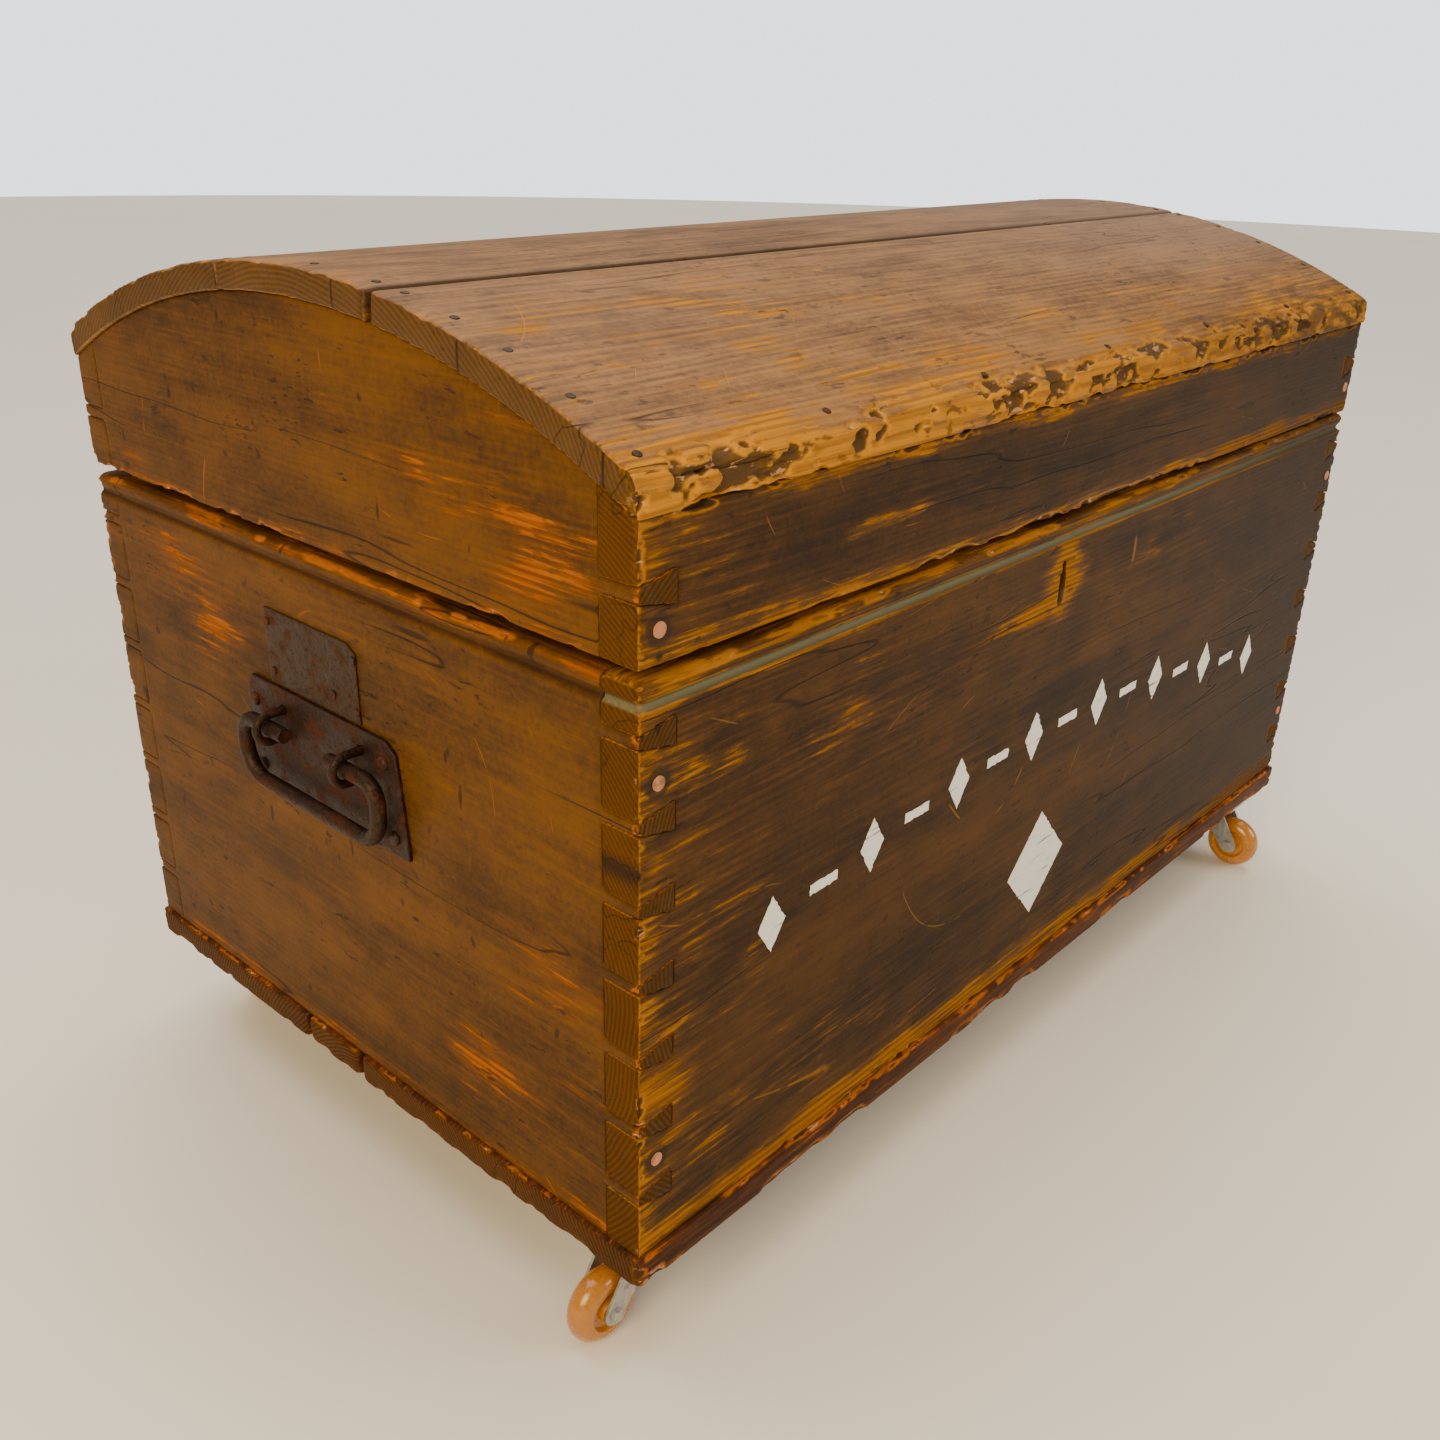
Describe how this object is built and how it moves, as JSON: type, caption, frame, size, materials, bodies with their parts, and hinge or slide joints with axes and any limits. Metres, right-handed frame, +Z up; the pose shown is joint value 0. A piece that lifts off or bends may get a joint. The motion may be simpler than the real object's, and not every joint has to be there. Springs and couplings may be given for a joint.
{
  "type": "footlocker",
  "caption": "Dome-topped dovetailed wooden trunk with a hinged lid, drop handles on iron plates, a chest lock and swivel casters",
  "frame": {"origin": "on the floor, under the middle of the bounding box", "axes": "+X to the right along the front, +Y to the back, +Z up"},
  "size_m": [0.9614, 0.57, 0.6157],
  "materials": {
    "front_wood": "dark varnish, abraded to golden wood at the edges",
    "end_wood": "warm brown varnish with worn orange streaks",
    "dome_wood": "worn mid brown varnish, golden at the front edge",
    "base_wood": "reddish brown varnish",
    "pale_plug": "bare pale plugs over the nails",
    "iron": "old wrought iron with rust",
    "zinc": "dull zinc plate",
    "amber_wheel": "clear amber polyurethane"
  },
  "bodies": {
    "box": {"front_wall": "front_wood", "back_wall": "end_wood", "left_end_wall": "end_wood", "right_end_wall": "end_wood", "base_front_plank": "base_wood", "base_middle_plank": "base_wood", "base_back_plank": "base_wood", "base_nails": "iron", "box_corner_nails": "pale_plug", "left_handle_plate": "iron", "right_handle_plate": "iron", "left_patch_plate": "iron", "right_patch_plate": "iron", "left_handle_staples": "iron", "right_handle_staples": "iron", "handle_screws": "iron", "patch_nails": "iron", "left_hinge_lower_leaf": "iron", "right_hinge_lower_leaf": "iron", "left_hinge_pin": "iron", "right_hinge_pin": "iron", "hinge_lower_screws": "iron", "lock_plate": "iron", "lock_case": "iron", "lock_screws": "iron", "front_left_caster_plate": "zinc", "front_right_caster_plate": "zinc", "back_left_caster_plate": "zinc", "back_right_caster_plate": "zinc", "caster_screws": "zinc", "caster_kingpins": "zinc"},
    "lid": {"lid_front_rail": "front_wood", "lid_back_rail": "end_wood", "lid_left_panel": "end_wood", "lid_right_panel": "end_wood", "lid_front_plank": "dome_wood", "lid_middle_plank": "dome_wood", "lid_back_plank": "dome_wood", "lid_nails": "iron", "lid_corner_nails": "pale_plug", "left_hinge_upper_leaf": "iron", "right_hinge_upper_leaf": "iron", "hinge_upper_screws": "iron", "lid_catch": "iron", "lid_catch_screws": "iron"},
    "left_bail": {"left_bail": "iron"},
    "right_bail": {"right_bail": "iron"},
    "lock_bolt": {"lock_bolt": "iron"},
    "front_left_swivel": {"front_left_fork": "zinc", "front_left_axle": "zinc"},
    "front_left_wheel": {"front_left_wheel": "amber_wheel"},
    "front_right_swivel": {"front_right_fork": "zinc", "front_right_axle": "zinc"},
    "front_right_wheel": {"front_right_wheel": "amber_wheel"},
    "back_left_swivel": {"back_left_fork": "zinc", "back_left_axle": "zinc"},
    "back_left_wheel": {"back_left_wheel": "amber_wheel"},
    "back_right_swivel": {"back_right_fork": "zinc", "back_right_axle": "zinc"},
    "back_right_wheel": {"back_right_wheel": "amber_wheel"}
  },
  "joints": [
    {"name": "lid_hinge", "type": "hinge", "parent": "box", "child": "lid", "pos_m": [0, 0.275, 0.453], "axis": [-1, 0, 0], "range_deg": [0, 104]},
    {"name": "left_bail_swing", "type": "hinge", "parent": "box", "child": "left_bail", "pos_m": [-0.4685, 0.016, 0.328], "axis": [0, 1, 0], "range_deg": [0, 180]},
    {"name": "right_bail_swing", "type": "hinge", "parent": "box", "child": "right_bail", "pos_m": [0.4685, 0.016, 0.328], "axis": [0, -1, 0], "range_deg": [0, 180]},
    {"name": "lock_bolt_throw", "type": "slide", "parent": "box", "child": "lock_bolt", "axis": [1, 0, 0], "range_m": [0, 0.012]},
    {"name": "front_left_swivel", "type": "hinge", "parent": "box", "child": "front_left_swivel", "pos_m": [-0.4225, -0.224, 0.06], "axis": [0, 0, 1], "continuous": true},
    {"name": "front_left_roll", "type": "hinge", "parent": "front_left_swivel", "child": "front_left_wheel", "pos_m": [-0.4495, -0.224, 0.025], "axis": [0, -1, 0], "continuous": true},
    {"name": "front_right_swivel", "type": "hinge", "parent": "box", "child": "front_right_swivel", "pos_m": [0.3945, -0.233, 0.06], "axis": [0, 0, 1], "continuous": true},
    {"name": "front_right_roll", "type": "hinge", "parent": "front_right_swivel", "child": "front_right_wheel", "pos_m": [0.3945, -0.26, 0.025], "axis": [1, 0, 0], "continuous": true},
    {"name": "back_left_swivel", "type": "hinge", "parent": "box", "child": "back_left_swivel", "pos_m": [-0.4205, 0.246, 0.06], "axis": [0, 0, 1], "continuous": true},
    {"name": "back_left_roll", "type": "hinge", "parent": "back_left_swivel", "child": "back_left_wheel", "pos_m": [-0.3935, 0.246, 0.025], "axis": [0, 1, 0], "continuous": true},
    {"name": "back_right_swivel", "type": "hinge", "parent": "box", "child": "back_right_swivel", "pos_m": [0.4165, 0.246, 0.06], "axis": [0, 0, 1], "continuous": true},
    {"name": "back_right_roll", "type": "hinge", "parent": "back_right_swivel", "child": "back_right_wheel", "pos_m": [0.39203, 0.23459, 0.025], "axis": [0.4226, -0.9063, 0], "continuous": true}
  ]
}
